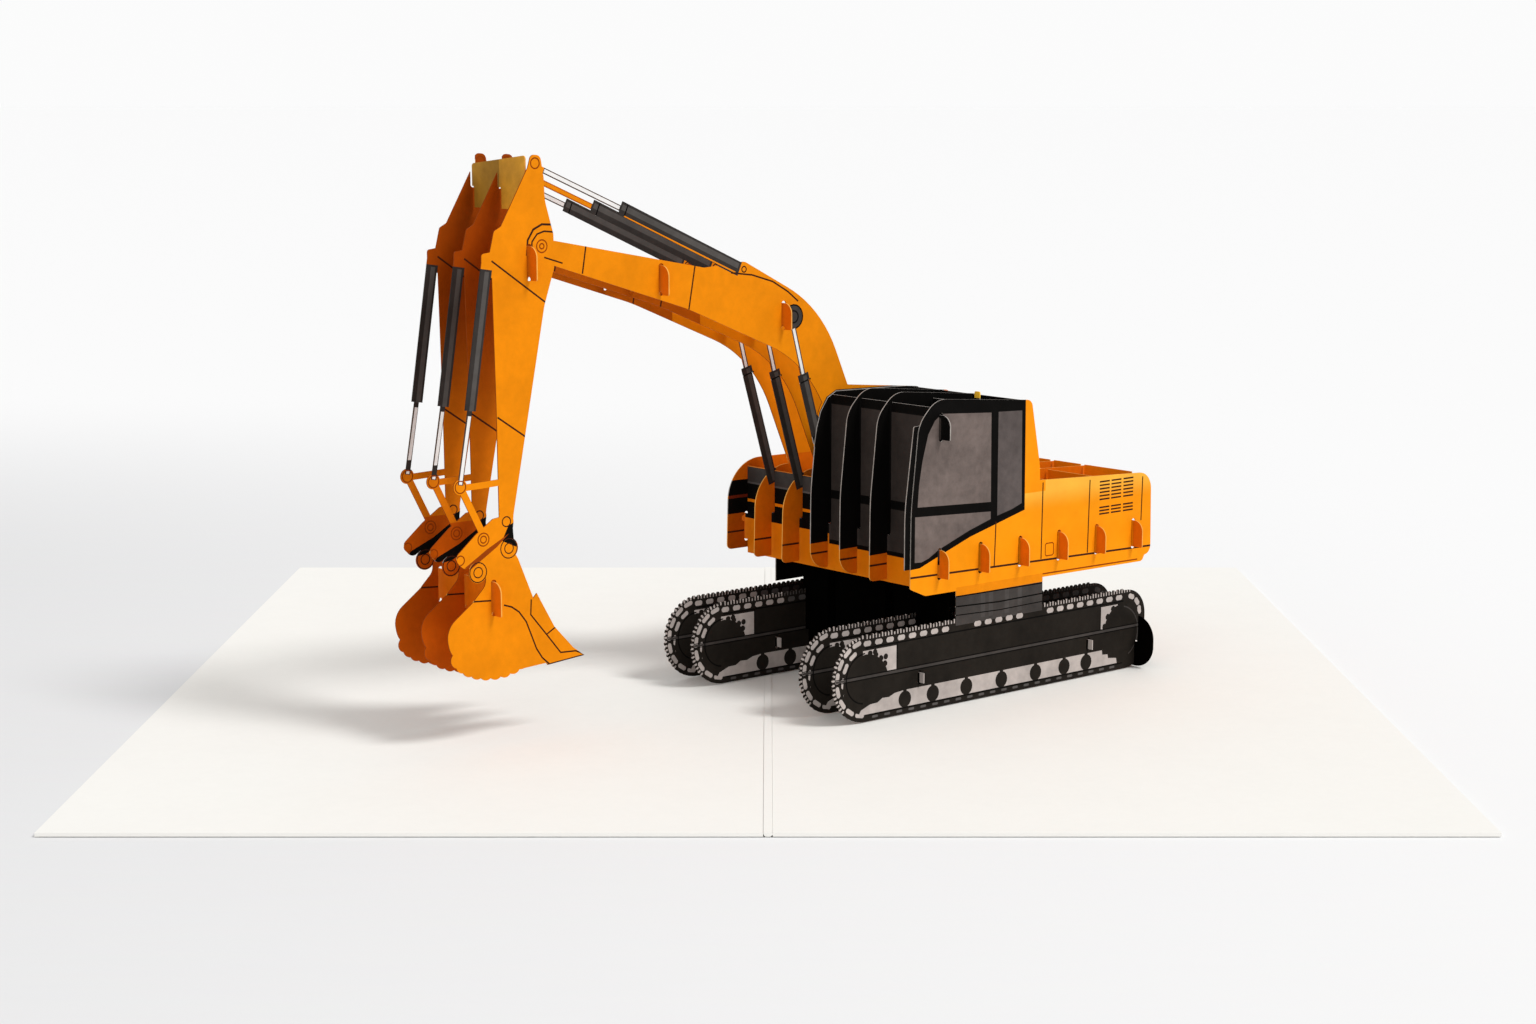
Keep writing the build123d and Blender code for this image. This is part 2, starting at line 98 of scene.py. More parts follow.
def disc(x, z, radius, steps=CIRCLE_STEPS):
    return [(x + radius * math.cos(t * math.tau / steps), z + radius * math.sin(t * math.tau / steps))
            for t in range(steps)]


def box(x0, z0, x1, z1):
    return [(x0, z0), (x1, z0), (x1, z1), (x0, z1)]


def pad(x, z, length, height, angle=0.0, corner=0.3):
    """A small rectangle with cut corners, turned by angle in radians about its centre."""
    half_l, half_h = length / 2, height / 2
    cut = corner * min(half_l, half_h) * 2
    shape = [(-half_l + cut, -half_h), (half_l - cut, -half_h), (half_l, -half_h + cut),
             (half_l, half_h - cut), (half_l - cut, half_h), (-half_l + cut, half_h),
             (-half_l, half_h - cut), (-half_l, -half_h + cut)]
    cos, sin = math.cos(angle), math.sin(angle)
    return [(x + p * cos - q * sin, z + p * sin + q * cos) for p, q in shape]


def arc(x, z, radius, from_degrees, to_degrees, steps=14):
    span = to_degrees - from_degrees
    angles = [math.radians(from_degrees + span * n / steps) for n in range(steps + 1)]
    return [(x + radius * math.cos(t), z + radius * math.sin(t)) for t in angles]


def strokes(points, width=LINE):
    """The pieces of a drawn line: one thin rectangle per run."""
    pieces = []
    for (x0, z0), (x1, z1) in zip(points, points[1:]):
        length = math.hypot(x1 - x0, z1 - z0)
        nx, nz = -(z1 - z0) / length * width / 2, (x1 - x0) / length * width / 2
        ex, ez = (x1 - x0) / length * width / 4, (z1 - z0) / length * width / 4
        pieces.append([(x0 - ex + nx, z0 - ez + nz), (x1 + ex + nx, z1 + ez + nz),
                       (x1 + ex - nx, z1 + ez - nz), (x0 - ex - nx, z0 - ez - nz)])
    return pieces


def lines(material, *paths, width=LINE):
    """Engraved lines: zones that are sunk into the paper."""
    return [(material, piece, 1) for path in paths for piece in strokes(path, width * LINE_WEIGHT)]


def rings(material, x, z, *radii, width=LINE):
    zones = []
    for radius in radii:
        zones += lines(material, arc(x, z, radius, 0, 360, 20), width=width)
    return zones


def flat(material, *shapes):
    """Printed areas, level with the paper."""
    return [(material, shape, 0) for shape in shapes]


def moved(zones, shift):
    return [(ink, [(x + shift[0], z + shift[1]) for x, z in shape], level) for ink, shape, level in zones]


# ---------------------------------------------------------------- materials

def new_material(name):
    """A new node material, with its tree and its shader."""
    material = bpy.data.materials.new(name)
    material.use_nodes = True
    tree = material.node_tree
    return material, tree, tree.nodes["Principled BSDF"]


def add(tree, kind, **values):
    """A new node; each value goes to the input of that name or else to the node's own setting."""
    node = tree.nodes.new(kind)
    for key, value in values.items():
        if key in node.inputs:
            node.inputs[key].default_value = value
        else:
            setattr(node, key, value)
    return node


def mix_colour(tree, factor, first, second, blend="MIX"):
    """Mixes two colours or sockets; factor is a number or a socket."""
    node = tree.nodes.new("ShaderNodeMix")
    node.data_type = "RGBA"
    node.blend_type = blend
    for number, value in ((MIX_FACTOR, factor), (MIX_FIRST, first), (MIX_SECOND, second)):
        if isinstance(value, (int, float, tuple)):
            node.inputs[number].default_value = value
        else:
            tree.links.new(value, node.inputs[number])
    return node.outputs[MIX_RESULT]


def ranged(tree, value, low, high, to_low=0.0, to_high=1.0, kind="LINEAR"):
    """Maps a socket from one range to another, and returns the socket of the result."""
    node = add(tree, "ShaderNodeMapRange", interpolation_type=kind)
    limits = {"From Min": low, "From Max": high, "To Min": to_low, "To Max": to_high}
    for name, limit in limits.items():
        node.inputs[name].default_value = limit
    tree.links.new(value, node.inputs["Value"])
    return node.outputs["Result"]


def rgba(colour):
    return (*colour, 1.0)


def paper(name, colour, speck=0.10, roughness=0.62, coarse=0.05, relief=0.25, gloss=0.12, lift=None):
    """Printed paper: mottled ink, darker specks and fine fibres.

    lift is (low, high, colour): a second ink that fades in between two heights in millimetres.
    """
    material, tree, shader = new_material(name)
    place = tree.nodes.new("ShaderNodeTexCoord").outputs["Object"]
    mottle = add(tree, "ShaderNodeTexNoise", Scale=MOTTLE_SCALE, Detail=5.0, Roughness=0.65)
    blotch = add(tree, "ShaderNodeTexNoise", Scale=BLOTCH_SCALE, Detail=3.0, Roughness=0.6)
    fibre = add(tree, "ShaderNodeTexNoise", Scale=FIBRE_SCALE, Detail=3.0, Roughness=0.7)
    for node in (mottle, blotch, fibre):
        tree.links.new(place, node.inputs["Vector"])
    ink = rgba(colour)
    if lift is not None:
        low, high, second = lift
        split = tree.nodes.new("ShaderNodeSeparateXYZ")
        tree.links.new(place, split.inputs[0])
        fade = ranged(tree, split.outputs["Z"], low * MM, high * MM, kind="SMOOTHSTEP")
        ink = mix_colour(tree, fade, ink, rgba(second))
    spread = ranged(tree, blotch.outputs["Fac"], 0.42, 0.68)
    soft = mix_colour(tree, spread, (1, 1, 1, 1), rgba((1 - coarse * 2.2,) * 3))
    ink = mix_colour(tree, 1.0, ink, soft, "MULTIPLY")
    grain = ranged(tree, mottle.outputs["Fac"], 0.3, 0.7, 1.0 + speck * 0.5, 1.0 - speck)
    tone = tree.nodes.new("ShaderNodeCombineColor")
    for channel in ("Red", "Green", "Blue"):
        tree.links.new(grain, tone.inputs[channel])
    ink = mix_colour(tree, 1.0, ink, tone.outputs["Color"], "MULTIPLY")
    tree.links.new(ink, shader.inputs["Base Color"])
    rough = ranged(tree, mottle.outputs["Fac"], 0.0, 1.0, roughness - 0.08, roughness + 0.1)
    tree.links.new(rough, shader.inputs["Roughness"])
    bump = add(tree, "ShaderNodeBump", Strength=relief, Distance=FIBRE_HEIGHT)
    tree.links.new(fibre.outputs["Fac"], bump.inputs["Height"])
    tree.links.new(bump.outputs["Normal"], shader.inputs["Normal"])
    shader.inputs["Specular IOR Level"].default_value = gloss
    return material


ORANGE_INK = (0.96, 0.305, 0.003)
MATERIALS = {
    "orange": paper("orange_paper", (0.84, 0.25, 0.002), speck=0.07, gloss=0.05),
    "house_orange": paper("house_orange_paper", ORANGE_INK,
                          speck=0.04, gloss=0.05, lift=(46.0, 52.5, (0.98, 0.47, 0.05))),
    "slat_orange": paper("slat_orange_paper", (0.98, 0.30, 0.003), speck=0.06, gloss=0.05),
    "front_orange": paper("front_orange_paper", (0.82, 0.215, 0.002), speck=0.06, gloss=0.05),
    # orange printed darker as painted shade, for the slices' faces, tabs and small slats that stand in the shade
    # of the sheets beside them
    "slice_orange": paper("orange_painted_shade_paper", (0.76, 0.158, 0.002), speck=0.1, gloss=0.05),
    # orange printed much darker as painted shade, for the far side sheet and the middle and far arm sheets
    "shade_orange": paper("orange_painted_deep_shade_paper", (0.50, 0.105, 0.002), speck=0.1, gloss=0.05),
    # the stick of the middle and far arm sheets: orange with painted shade, darkening further from 62 to 104 mm up
    "stick_orange": paper("stick_painted_shade_paper", (0.66, 0.17, 0.002),
                          speck=0.1, gloss=0.05, lift=(62.0, 104.0, (0.35, 0.058, 0.001))),
    # the bucket of the middle and far arm sheets: orange printed dark as painted shade
    "bucket_orange": paper("bucket_painted_shade_paper", (0.50, 0.085, 0.001), speck=0.1, gloss=0.05),
    "deep_orange": paper("deep_orange_ink", (0.30, 0.05, 0.002), speck=0.08, gloss=0.05),
    "red": paper("dark_red_ink", (0.16, 0.018, 0.004), speck=0.1),
    "yellow": paper("yellow_ink", (1.0, 0.58, 0.04), speck=0.06),
    "olive": paper("olive_ink", (0.78, 0.36, 0.03), speck=0.14, coarse=0.14),
    # olive darkened as painted shade, for the left part of the stick's top slat
    "olive_dark": paper("olive_painted_shade_ink", (0.46, 0.22, 0.02), speck=0.14, coarse=0.14),
    "line": paper("engraved_line", (0.05, 0.012, 0.004), speck=0.2, roughness=0.8),
    "black": paper("black_ink", (0.0035, 0.0030, 0.0026),
                   speck=0.2, roughness=0.7, coarse=0.14, gloss=0.04),
    "pitch": paper("undercarriage_ink", (0.0014, 0.0012, 0.0010),
                   speck=0.2, roughness=0.8, coarse=0.14, gloss=0.0),
    "soot": paper("track_ink", (0.017, 0.0135, 0.0105),
                  speck=0.2, roughness=0.7, coarse=0.15, gloss=0.06),
    "steel": paper("dark_steel_ink", (0.055, 0.047, 0.043), speck=0.18, roughness=0.55, coarse=0.16),
    "steel_light": paper("steel_highlight_ink", (0.105, 0.095, 0.09),
                         speck=0.18, roughness=0.55, coarse=0.16),
    "steel_soft": paper("steel_sheen_ink", (0.072, 0.063, 0.059),
                        speck=0.18, roughness=0.55, coarse=0.16),
    "barrel": paper("barrel_ink", (0.034, 0.028, 0.025), speck=0.2, roughness=0.5, coarse=0.12),
    "barrel_light": paper("barrel_highlight_ink", (0.085, 0.076, 0.070),
                          speck=0.15, roughness=0.5, coarse=0.1),
    "glass": paper("window_ink", (0.165, 0.128, 0.115), speck=0.22, roughness=0.55, coarse=0.12),
    "rear_glass": paper("rear_window_ink", (0.105, 0.085, 0.080),
                        speck=0.22, roughness=0.55, coarse=0.12),
    "screen": paper("windscreen_ink", (0.038, 0.029, 0.025), speck=0.2, roughness=0.6, coarse=0.14),
    "grey": paper("light_grey_ink", (0.50, 0.44, 0.41), speck=0.16, roughness=0.6, coarse=0.1),
    "rod": paper("rod_ink", (0.86, 0.84, 0.82), speck=0.08, roughness=0.4),
    "rod_dark": paper("rod_shadow_ink", (0.08, 0.045, 0.03), speck=0.1, roughness=0.5),
    "edge": paper("cut_edge_orange", (0.90, 0.42, 0.08), speck=0.15, roughness=0.8),
    "dark_edge": paper("cut_edge_dark", (0.42, 0.38, 0.35), speck=0.35, roughness=0.8),
    "soot_edge": paper("cut_edge_track", (0.035, 0.028, 0.022), speck=0.3, roughness=0.8),
}
EDGE_OF = {
    "black": "dark_edge", "glass": "dark_edge", "rear_glass": "dark_edge", "screen": "dark_edge",
    "steel": "soot_edge", "steel_soft": "soot_edge", "steel_light": "soot_edge", "soot": "soot_edge",
    "barrel": "soot_edge", "barrel_light": "soot_edge", "pitch": "pitch", "grey": "grey",
    "rod": "rod_dark", "rod_dark": "rod_dark", "yellow": "yellow", "shade_orange": "deep_orange",
    "stick_orange": "deep_orange", "bucket_orange": "deep_orange",
}


# ---------------------------------------------------------------- rebuilding one sheet from its CAD node

def face_outline(node, across):
    """The 2-D edges of the node's large flat face, and the two levels it lies between."""
    mesh = frame["nodes"][node].data
    points = np.empty(len(mesh.vertices) * 3)
    mesh.vertices.foreach_get("co", points)
    points = points.reshape(-1, 3)
    run, normal = (AWAY, ALONG) if across else (ALONG, AWAY * -1)
    origin = np.array(FRONT)
    local = np.stack([(points - origin) @ np.array(run), points[:, 2] - CARD_TOP], axis=1) / MM
    depth = (points - origin) @ np.array(normal) / MM
    keys = {}
    places = [(round(float(x), 3), round(float(z), 3)) for x, z in local]
    weld = np.array([keys.setdefault(place, len(keys)) for place in places])
    flat_points = np.zeros((len(keys), 2))
    flat_points[weld] = local
    middle = (depth.min() + depth.max()) / 2
    count = {}
    for polygon in mesh.polygons:
        ring = list(polygon.vertices)
        if depth[ring].min() < middle:
            continue
        for first, second in zip(ring, ring[1:] + ring[:1]):
            pair = tuple(sorted((int(weld[first]), int(weld[second]))))
            count[pair] = count.get(pair, 0) + 1
    edges = [pair for pair, uses in count.items() if uses == 1 and pair[0] != pair[1]]
    return flat_points, edges, float(depth.min()), float(depth.max())


def inside(points, outline_points, edges):
    """Even-odd test of many points against the outline."""
    start = outline_points[[e[0] for e in edges]]
    end = outline_points[[e[1] for e in edges]]
    result = np.zeros(len(points), dtype=bool)
    for index, (x, z) in enumerate(points):
        crosses = (start[:, 1] > z) != (end[:, 1] > z)
        s, e = start[crosses], end[crosses]
        at = s[:, 0] + (z - s[:, 1]) * (e[:, 0] - s[:, 0]) / (e[:, 1] - s[:, 1])
        result[index] = (at > x).sum() % 2 == 1
    return result


def turns_left(shape):
    return sum(x0 * z1 - x1 * z0 for (x0, z0), (x1, z1) in zip(shape, shape[1:] + shape[:1])) > 0


def triangulate(node, across, zones):
    """Cuts the sheet's face along its outline and every zone.

    Returns the corners, the triangles with the number of their zone (-1 for none), and the two
    levels that the sheet lies between.
    """
    outline_points, edges, low, high = face_outline(node, across)
    used = sorted({i for edge in edges for i in edge})
    rank = {old: new for new, old in enumerate(used)}
    corners = [Vector(outline_points[i]) for i in used]
    edge_list = [(rank[a], rank[b]) for a, b in edges]
    shapes = []
    for _, shape, _ in zones:
        shapes.append(list(range(len(corners), len(corners) + len(shape))))
        corners += [Vector(p) for p in (shape if turns_left(shape) else shape[::-1])]
    points, _, faces, _, _, owners = delaunay_2d_cdt(corners, edge_list, shapes, 0, 1e-4)
    points = np.array([tuple(p) for p in points])
    faces = [tuple(f) for f in faces]
    centres = points[np.array(faces)].mean(axis=1)
    kept = inside(centres, outline_points, edges)
    picked = [(faces[i], max(owners[i]) if owners[i] else -1) for i in np.nonzero(kept)[0]]
    return points, picked, low, high


def edge_of(ink, edges):
    """The colour of the cut edge beside an ink; edges overrides the usual ones."""
    return edges.get(ink, EDGE_OF.get(ink, "edge")) if edges else EDGE_OF.get(ink, "edge")


def printed_sheet(node, zones, base="orange", across=False, edges=None):
    """A sheet of printed paper in place of the CAD node, as one closed mesh.

    It has printed inks, sunk lines and cut edges in their own colours. across is true for a slat.
    """
    points, picked, low, high = triangulate(node, across, zones)
    run, normal = (AWAY, ALONG) if across else (ALONG, AWAY * -1)
    inks = {base} | {zone[0] for zone in zones}
    names = sorted(inks | {edge_of(ink, edges) for ink in inks})
    level_of, ink_of = [], []
    for _, owner in picked:
        level_of.append(zones[owner][2] if owner >= 0 else 0)
        ink_of.append(zones[owner][0] if owner >= 0 else base)
    verts, index, faces, slots = [], {}, [], []

    def vertex(corner, side, level):
        key = (corner, side, level)
        if key not in index:
            sunk = GROOVE_DEPTH * level
            depth = high - sunk if side else low + sunk
            x, z = points[corner]
            place = FRONT + run * float(x) * MM + normal * depth * MM
            index[key] = len(verts)
            verts.append((place.x, place.y, CARD_TOP + float(z) * MM))
        return index[key]

    users = {}
    for number, (face, _) in enumerate(picked):
        for side in (1, 0):
            ring = [vertex(c, side, level_of[number]) for c in face]
            faces.append(ring if side == across else ring[::-1])
            slots.append(names.index(ink_of[number]))
        for first, second in zip(face, face[1:] + face[:1]):
            users.setdefault((min(first, second), max(first, second)), []).append((number, first, second))
    for uses in users.values():
        number, first, second = uses[0]
        level = level_of[number]
        if len(uses) == 1:
            wall = [vertex(first, 1, level), vertex(first, 0, level),
                    vertex(second, 0, level), vertex(second, 1, level)]
            faces.append(wall if across else wall[::-1])
            slots.append(names.index(edge_of(ink_of[number], edges)))
        elif level_of[uses[1][0]] != level:
            other = level_of[uses[1][0]]
            sunk = ink_of[number] if level else ink_of[uses[1][0]]
            for side in (1, 0):
                wall = [vertex(first, side, level), vertex(first, side, other),
                        vertex(second, side, other), vertex(second, side, level)]
                faces.append(wall if side == across else wall[::-1])
                slots.append(names.index(sunk))
    replace_node(node, verts, faces, slots, names)


def replace_node(node, verts, faces, slots, names):
    """Makes the printed mesh with its inks and puts it in the place of the CAD node."""
    mesh = bpy.data.meshes.new(f"{node}_print")
    mesh.from_pydata(verts, [], faces)
    for name in names:
        mesh.materials.append(MATERIALS[name])
    mesh.polygons.foreach_set("material_index", slots)
    mesh.validate()
    mesh.update()
    piece = bpy.data.objects.new(f"{node}_print", mesh)
    bpy.context.collection.objects.link(piece)
    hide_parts(node)
    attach(piece, BODY_OF[node])


# ---------------------------------------------------------------- tracks

TRACK_TOP = 21.55
TRACK_MID = 10.9
TRACK_NOSE = 1.0
TRACK_TAIL = 93.5
TRACK_RADIUS = TRACK_TOP - TRACK_MID
TAIL_RADIUS = 7.0
GROUSERS = 94
ROLLERS = (14.0, 23.4, 34.9, 47.2, 59.5, 70.0, 78.2)
SPROCKET = (1.2, 9.4)
IDLER = (92.0, 10.6)


def around(x, z, reach, angles, length, height):
    """Pads set around a point, each with its long side along the circle."""
    pads = []
    for degrees in angles:
        angle = math.radians(degrees)
        centre = (x + reach * math.cos(angle), z + reach * math.sin(angle))
        pads.append(pad(*centre, length, height, angle + math.pi / 2))
    return pads


def link_print():
    """The crawler's links: grouser strokes at the very edge, rows of pads inside."""
    zones = []
    for n in range(GROUSERS):
        x = TRACK_NOSE + 0.5 + n
        zones += flat("grey", box(x - 0.18, TRACK_TOP - 1.05, x + 0.18, TRACK_TOP + 0.6))
    nose = (TRACK_NOSE, TRACK_MID)
    tail = (TRACK_TAIL, TRACK_TOP - TAIL_RADIUS)
    edge = [95 + 6.2 * n for n in range(22)]
    zones += flat("grey", *around(*nose, TRACK_RADIUS - 0.4, edge, 0.5, 0.9))
    zones += flat("grey", *[pad(TRACK_NOSE + 0.6 + 3.7 * n, TRACK_TOP - 2.15, 2.4, 1.3) for n in range(25)])
    outer = [108 + 21.5 * n for n in range(8)]
    inner = [124 + 29.0 * n for n in range(5)]
    zones += flat("grey", *around(*nose, TRACK_RADIUS - 1.6, outer, 2.8, 1.15))
    zones += flat("grey", *around(*nose, TRACK_RADIUS - 3.5, inner, 2.6, 1.1))
    zones += flat("steel_light", *[pad(4.2 + 4.0 * n, 1.15, 1.9, 0.6) for n in range(22)])
    zones += flat("grey", *around(*tail, TAIL_RADIUS - 2.1, (70, 38, 8), 2.3, 1.3))
    zones += flat("grey", *[pad(TRACK_TAIL + TAIL_RADIUS - 2.0, z, 1.2, 2.2) for z in (10.6, 7.2)])
    return zones


def track_print():
    """Link pads, grouser strokes, sprocket, idler, rollers and frame lines of a track plate."""
    zones = link_print() + front_wheel_print() + rear_wheel_print()
    zones += flat("grey", [
        (-1.2, 2.0), (90.0, 2.0), (89.7, 3.4), (86.6, 3.8), (86.4, 4.8), (84.4, 5.0), (84.2, 6.2),
        (13.8, 6.2), (10.6, 5.9), (8.8, 5.2), (6.6, 5.3), (5.0, 4.4), (2.6, 4.3), (-0.4, 3.2),
    ])
    for x in ROLLERS:
        zones += flat("soot", disc(x, 3.9, 2.1, 18), box(x - 0.6, 5.6, x + 0.6, 6.6))
        zones += flat("soot", box(x - 0.8, 1.8, x + 0.8, 3.0))
    zones += flat("steel", box(-8.6, 10.9, 98.8, 11.5))
    zones += lines("black", [(-8.8, 10.7), (99.0, 10.7)], [(-8.6, 11.7), (98.8, 11.7)], width=0.2)
    zones += lines("black", [(11.3, 18.2), (11.3, 11.8)], [(83.4, 18.2), (83.4, 11.8)],
                   [(2.0, 1.75), (92, 1.75)], width=0.25)
    zones += lines("black", arc(TRACK_NOSE, TRACK_MID, TRACK_RADIUS - 4.5, 92, 262, 30),
                   [(1.0, 18.3), (92.0, 18.3)], width=0.3)
    return zones


def shaded_under_house(zones, start, end):
    """The track's print with painted shade, fading to dark from the station start to end, where the house stands
    over it and shades it.
    """
    result = []
    for ink, shape, level in zones:
        front = min(point[0] for point in shape)
        if ink == "grey" and front > start:
            ink = "steel" if front > end else "steel_light"
        result.append((ink, shape, level))
    return result


def front_wheel_print():
    """The pale cheek above the sprocket, with the sprocket's dark rim and teeth over it."""
    zones = flat("grey", [(0.2, 17.7), (11.1, 17.7), (11.1, 11.8), (0.2, 11.8)])
    zones += flat("soot", disc(*SPROCKET, 7.4))
    zones += flat("soot", *around(*SPROCKET, 7.6, (35, 50, 65, 80), 1.5, 1.3))
    return zones + flat("soot", disc(4.1, 17.0, 0.75, 12), disc(7.6, 15.4, 0.75, 12))


def rear_wheel_print():
    """The pale cheek in front of the idler, its dark rim and the thin pale arc around its back."""
    zones = flat("grey", [(83.6, 17.7), (92.0, 17.7), (96.6, 15.4), (97.4, 11.8), (83.6, 11.8)])
    zones += flat("soot", disc(*IDLER, 7.2))
    zones += flat("soot", *around(*IDLER, 7.3, (100, 122, 144, 166), 1.6, 1.3))
    zones += lines("steel", arc(91.0, 10.0, 7.0, -60, 78, 16), width=0.3)
    return zones


# ---------------------------------------------------------------- house and cab

def cab_zone():
    """The dark cab outline, with its slanted lower edge."""
    return [(10, 35.4), (18.6, 35.7), (25.1, 38.0), (35.6, 41.6), (54.6, 46.4), (54.4, 80), (10, 80)]


def near_windows():
    main = [(17.7, 50.7), (42.6, 49.6), (42.4, 71.9), (25.6, 72.9), (23.2, 71.4), (21.0, 68.2),
            (19.2, 62.0), (18.1, 56)]
    rear = [(44.9, 71.9), (53.2, 71.6), (53.5, 48.2), (50.0, 47.0), (44.9, 45.9)]
    lower = [(16.9, 48.4), (42.6, 47.2), (42.6, 45.3), (35.2, 43.2), (25.0, 39.6), (21.6, 37.8),
             (19.2, 37.1), (16.9, 37.2)]
    return main, rear, lower


def vents():
    zones = []
    for x in (82.1, 86.5, 91.1):
        for z in [46.0 + 0.92 * n for n in range(6)] + [42.2 + 0.85 * n for n in range(3)]:
            zones += [("line", box(x, z, x + 3.8, z + 0.42), 1)]
    return zones


def house_lines():
    """Door and hatch lines, sill line, and the small filler cap."""
    zones = lines("line", [(15.4, 33.6), (102.4, 32.0)], width=0.42)
    zones += lines("line", [(60.8, 33.2), (61.1, 52.6)], [(77.9, 32.9), (78.4, 51.6)],
                   [(98.2, 39.2), (98.5, 50.6)], [(44.1, 33.4), (44.5, 44.4)])
    cap = pad(63.8, 35.3, 3.0, 3.2, 0, 0.13)
    zones += lines("deep_orange", cap + cap[:1], width=0.24)
    zones += lines("deep_orange", [(61.5, 29.2), (97.0, 28.9)], width=0.3)
    return zones


def ring_print():
    """The turntable under the near side: a drum with soft highlights and two thin lines."""
    zones = flat("orange", box(31.0, 27.2, 61.5, 29.4)) + flat("steel", box(31.0, 19.2, 61.5, 27.2))
    zones += flat("steel_soft", *[box(x, 20.8, x + 1.5, 26.8) for x in (39.6, 42.4, 48.0, 52.6)])
    zones += lines("black", [(31, 27.1), (61.5, 26.9)], [(31, 24.6), (46, 24.0), (61.5, 24.2)], width=0.3)
    return zones + lines("black", [(31, 22.4), (46, 21.9), (61.5, 22.1)], width=0.22)


def near_side_print():
    main, rear, lower = near_windows()
    zones = flat("slat_orange", box(54.0, 50.5, 62.0, 78.0)) + flat("black", cab_zone())
    zones += flat("glass", main, lower) + flat("rear_glass", rear)
    zones += house_lines() + vents() + ring_print()
    zones += flat("soot", box(-12, -1, 31.0, 22.5), box(61.5, -1, 104, 22.5), box(31.0, -1, 61.5, 19.8))
    return zones + [zone for zone in track_print() if not over_turntable(zone)]


def over_turntable(zone):
    """True for the link strokes and pads that the turntable's print hides."""
    middle = sum(p[0] for p in zone[1]) / len(zone[1])
    low = min(p[1] for p in zone[1])
    under_block = low > 20.0 and 30.8 < middle < 61.8
    beside_block = low > 18.6 and (30.8 < middle < 37.6 or 53.5 < middle < 61.8)
    return under_block or beside_block


def slice_print(bands):
    """A slice of the house: dark cab above, or dark bands on the far side, with the sill line. Its orange is
    printed darker as painted shade.
    """
    if bands == "cab":
        zones = flat("slice_orange", box(10, 26, 104, 36.4))
        zones += flat("black", [(10, 36.2), (54.5, 36.8), (54.4, 80), (10, 80)])
        return zones + lines("line", [(15.0, 33.7), (102.0, 33.7)], width=0.4)
    if bands == "low":
        zones = flat("slice_orange", box(10, 26, 104, 56))
        return zones + lines("line", [(15.0, 34.4), (102.0, 34.4)], width=0.4)
    zones = flat("slice_orange", box(10, 48.6, 104, 56)) + flat("black", box(10, 44.6, 28.0, 48.6))
    zones += flat("red", box(10, 43.8, 28.0, 44.6)) + flat("black", box(10, 39.7, 28.0, 43.8))
    zones += flat("black", box(30, 10, 66, 30.4))
    return zones + lines("line", [(15.0, 34.9), (102.0, 34.9)], width=0.4)


# ---------------------------------------------------------------- arm

PIN = (-65.7, 115.5)
BOOM_PIN = (10.4, 95.2)


def bar(start, finish, width):
    return strokes([start, finish], width)[0]


def ram(rod_start, rod_end, barrel_end, rod_width, barrel_width, silver=True):
    """A hydraulic ram: pale rod with dark sides, barrel with a soft highlight and a dark collar."""
    side = Vector((barrel_end[0] - rod_end[0], barrel_end[1] - rod_end[1])).normalized()
    normal = Vector((-side.y, side.x))
    zones = flat("rod_dark", bar(rod_start, rod_end, rod_width)) if silver else []
    zones += flat("rod" if silver else "orange", bar(rod_start, rod_end, rod_width * 0.56))
    zones += flat("barrel", bar(rod_end, barrel_end, barrel_width * 1.2))
    lit = normal * barrel_width * 0.14
    zones += flat("barrel_light", bar((rod_end[0] + lit.x, rod_end[1] + lit.y),
                                      (barrel_end[0] + lit.x, barrel_end[1] + lit.y), barrel_width * 0.42))
    collar = (rod_end[0] + side.x * 1.1, rod_end[1] + side.y * 1.1)
    zones += lines("black", [(collar[0] - normal.x * 2, collar[1] - normal.y * 2),
                             (collar[0] + normal.x * 2, collar[1] + normal.y * 2)], width=0.3)
    return zones


def arm_print(near, silver=True):
    """Rams, pins and engraved lines of one arm sheet, in the arm's own coordinates."""
    zones = ram((-64.6, 132.6), (-42.5, 123.3), (-7.8, 108.3), 1.5, 3.2, silver=silver)
    zones += flat("orange", bar((-42.0, 121.6), (-8.4, 107.1), 0.35)) if near else []
    zones += ram((-86.0, 79.2), (-89.0, 62.6), (-89.3, 61.0), 1.5, 0.1)[:2]
    zones += flat("barrel", bar((-81.2, 110.0), (-86.05, 78.6), 3.2))
    zones += flat("barrel_light", bar((-80.9, 110.0), (-85.7, 79.2), 1.2))
    zones += flat("barrel", box(-89.6, 63.0, -87.6, 65.6)) if not near else []
    zones += lines("line", [(-79.5, 112.6), (-64.9, 102.6)], [(-78.6, 76.9), (-71.2, 72.0)], width=0.34)
    zones += lines("line", [(-53.2, 115.4), (-54.3, 108.8)], [(-20.9, 109.2), (-22.9, 98.4)],
                   [(-9.6, 107.0), (-3.0, 106.2), (3.6, 104.3), (8.5, 101.6), (11.8, 99.1)], width=0.34)
    outer_collar = [(-69.9, 113.6), (-69.6, 117.0), (-68.0, 119.4), (-65.6, 120.5), (-61.8, 120.3)]
    inner_collar = [(-68.6, 114.0), (-68.4, 116.6), (-67.0, 118.3), (-65.0, 118.9), (-61.8, 118.6)]
    zones += lines("line", outer_collar, width=0.42) + lines("line", inner_collar, width=0.34)
    zones += lines("line", [(-65.0, 112.9), (-60.0, 111.4)], width=0.3)
    zones += rings("deep_orange", *PIN, 1.45, 0.6, width=0.26)
    zones += rings("deep_orange", -67.3, 134.4, 1.2, width=0.26)
    zones += rings("line", -5.6, 107.7, 0.7, width=0.26)
    zones += flat("steel", disc(*BOOM_PIN, 3.0)) + rings("black", *BOOM_PIN, 3.0, 1.5, width=0.3)
    zones += ram((10.5, 92.0), (13.8, 79.8), (22.6, 50.4), 1.5, 2.9)
    return moved(zones + bucket_print(near), ARM_SHIFT)


